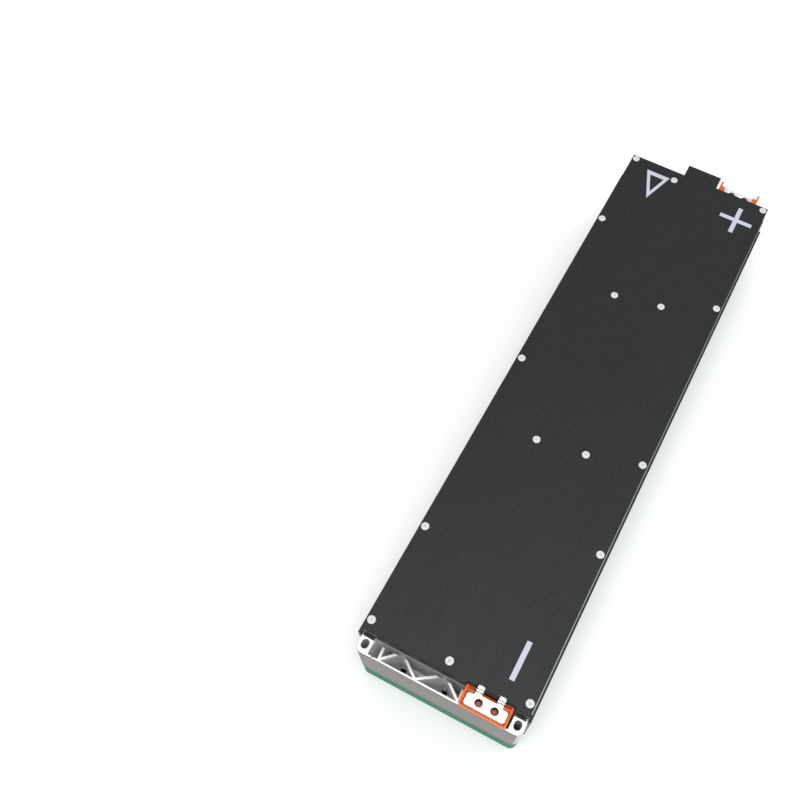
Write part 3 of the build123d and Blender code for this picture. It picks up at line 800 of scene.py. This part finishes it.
class MODULE_OT_inside(bpy.types.Operator):
    """Finishes the cells, pads, busbars and sensing circuit."""
    bl_idname = "battery_module.inside"
    bl_label = "Cells and circuit"

    def execute(self, context):
        can = drawn_metal("cell_can", (0.60, 0.62, 0.64), 0.36, 2, 0.8 * MM)
        pad = foam("pad_foam", (0.32, 0.33, 0.34))
        rolled = drawn_metal("busbar_metal", (0.76, 0.76, 0.76), 0.32, 1)
        for i in range(12):
            finish_node("cell_%02d" % (i + 1), can)
        for node in ("cell_separators", "bottom_pad"):
            finish_node(node, pad)
        for node in ("cell_busbars", "output_busbar_near", "output_busbar_far"):
            finish_node(node, rolled)
        finish_node("vent_films", clear_film("vent_film", (0.72, 0.76, 0.80)))
        finish_node("sensing_strip", circuit_film("circuit_film", (0.42, 0.17, 0.03)))
        plated = drawn_metal("tab_tin", (0.78, 0.78, 0.76), 0.3, 0)
        finish_node("sensing_tabs", plated)
        finish_node("connector_pins", plated)
        return {"FINISHED"}


class MODULE_OT_edges(bpy.types.Operator):
    """Puts copies with softly broken edges in place of the machined and moulded parts."""
    bl_idname = "battery_module.edges"
    bl_label = "Soft edges"

    def execute(self, context):
        sizes = context.scene.module_sizes
        for node, radius in (
            ("end_plate", sizes.plate_edge), ("terminal_housing", sizes.housing_edge),
            ("terminal_bar", sizes.metal_edge), ("terminal_clips", sizes.metal_edge),
        ):
            for end in ("near", "far"):
                self.soften(node + "_" + end, radius)
        return {"FINISHED"}

    def soften(self, node, radius):
        """Breaks the edges of a merged copy of the node and shows the copy instead."""
        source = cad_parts[node]
        bm = bmesh.new()
        bm.from_mesh(source.data)
        bm.transform(source.matrix_world)
        bmesh.ops.remove_doubles(bm, verts=bm.verts, dist=MERGE)
        bmesh.ops.dissolve_limit(bm, angle_limit=FLAT, verts=bm.verts, edges=bm.edges)
        edges = [edge for edge in bm.edges
                 if len(edge.link_faces) == 2 and edge.calc_face_angle() > SHARP]
        bmesh.ops.bevel(bm, geom=edges, offset=radius, offset_type="OFFSET", segments=2,
                        profile=0.5, affect="EDGES", clamp_overlap=False)
        bmesh.ops.remove_doubles(bm, verts=bm.verts, dist=MERGE)
        bmesh.ops.triangulate(bm, faces=[face for face in bm.faces if len(face.verts) > 4])
        bmesh.ops.recalc_face_normals(bm, faces=bm.faces)
        if any(not edge.is_manifold for edge in bm.edges):
            raise RuntimeError(node + " is not closed after its edges were broken")
        mesh = bpy.data.meshes.new(node + "_soft")
        bm.to_mesh(mesh)
        bm.free()
        material = source.material_slots[0].material
        smooth(mesh, SOFT_ANGLE)
        piece = new_piece(node + "_soft", mesh, material)
        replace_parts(piece, node)


class MODULE_OT_stage(bpy.types.Operator):
    """Sets the floor, the soft light and the camera."""
    bl_idname = "battery_module.stage"
    bl_label = "Stage"

    def execute(self, context):
        scene = context.scene
        bm = bmesh.new()
        bmesh.ops.create_grid(bm, x_segments=1, y_segments=1, size=FLOOR_REACH)
        mesh = bpy.data.meshes.new("floor")
        bm.to_mesh(mesh)
        bm.free()
        floor = bpy.data.objects.new("floor", mesh)
        scene.collection.objects.link(floor)
        floor.location.z = -FLOOR_DROP
        mesh.materials.append(self.floor_finish())
        self.light()
        self.aim(scene)
        scene.view_settings.view_transform = "Standard"
        return {"FINISHED"}

    def floor_finish(self):
        """Matt white that takes the shadow, with a faint glow for what looks at it."""
        f = Finish("floor_white")
        cloud = f.noise(0.4, 2.0)
        path = f.node("ShaderNodeLightPath")
        seen = Amount(f, path.outputs["Is Camera Ray"]).largest(
            Amount(f, path.outputs["Is Glossy Ray"])).largest(
            Amount(f, path.outputs["Is Transmission Ray"]))
        matt = f.node("ShaderNodeBsdfDiffuse", {}, {
            "Color": f.mix(cloud, (0.84, 0.84, 0.84), (0.86, 0.86, 0.86))})
        glow = f.node("ShaderNodeEmission", {}, {
            "Color": (1.0, 1.0, 1.0), "Strength": seen * FLOOR_GLOW})
        both = f.node("ShaderNodeAddShader", {}, {0: matt.outputs[0], 1: glow.outputs[0]})
        f.tree.links.new(both.outputs[0], f.output.inputs["Surface"])
        return f.material

    def light(self):
        """An even world and two soft panels."""
        world = bpy.data.worlds.new("studio")
        world.use_nodes = True
        back = world.node_tree.nodes["Background"]
        back.inputs["Color"].default_value = (1.0, 1.0, 1.0, 1.0)
        back.inputs["Strength"].default_value = WORLD_LIGHT
        bpy.context.scene.world = world
        for name, place, size, power in PANELS:
            self.panel(name, place, size, power)

    def panel(self, name, place, size, power):
        """A square soft light, aimed at the middle of the module."""
        lamp = bpy.data.lights.new(name, "AREA")
        lamp.shape = "SQUARE"
        lamp.size = size
        lamp.energy = power
        item = bpy.data.objects.new(name, lamp)
        bpy.context.scene.collection.objects.link(item)
        item.location = place
        aim = Vector((0, 0, MIDDLE)) - Vector(place)
        item.rotation_euler = aim.to_track_quat("-Z", "Y").to_euler()

    def aim(self, scene):
        """The camera, above and beyond the near end."""
        lens = bpy.data.cameras.new("camera")
        lens.sensor_width = 36.0
        lens.lens = CAMERA_LENS
        lens.shift_x, lens.shift_y = CAMERA_SHIFT
        lens.clip_start = 0.02
        lens.clip_end = 20.0
        camera = bpy.data.objects.new("camera", lens)
        scene.collection.objects.link(camera)
        camera.location = CAMERA_PLACE
        camera.rotation_euler = tuple(math.radians(angle) for angle in CAMERA_TURN)
        scene.camera = camera


STEPS = (MODULE_OT_cover, MODULE_OT_marks, MODULE_OT_rivets, MODULE_OT_end_plates, MODULE_OT_sides,
         MODULE_OT_terminals, MODULE_OT_edges, MODULE_OT_inside, MODULE_OT_stage)


class MODULE_PT_panel(bpy.types.Panel):
    """Lists the steps that dress the module."""
    bl_idname = "MODULE_PT_panel"
    bl_label = "Battery module"
    bl_space_type = "VIEW_3D"
    bl_region_type = "UI"
    bl_category = "Battery"

    def draw(self, context):
        for step in STEPS:
            self.layout.operator(step.bl_idname)
        for group in (context.scene.module_sizes, context.scene.module_colours):
            for name in group.bl_rna.properties.keys():
                if name not in ("rna_type", "name"):
                    self.layout.prop(group, name)


CLASSES = (ModuleSizes, ModuleColours, *STEPS, MODULE_PT_panel)


def register():
    for item in CLASSES:
        bpy.utils.register_class(item)
    bpy.types.Scene.module_sizes = bpy.props.PointerProperty(type=ModuleSizes)
    bpy.types.Scene.module_colours = bpy.props.PointerProperty(type=ModuleColours)


def unregister():
    del bpy.types.Scene.module_colours
    del bpy.types.Scene.module_sizes
    for item in reversed(CLASSES):
        bpy.utils.unregister_class(item)


def main():
    register()
    for step in STEPS:
        group, name = step.bl_idname.split(".")
        getattr(getattr(bpy.ops, group), name)()


if __name__ == "__main__":
    main()
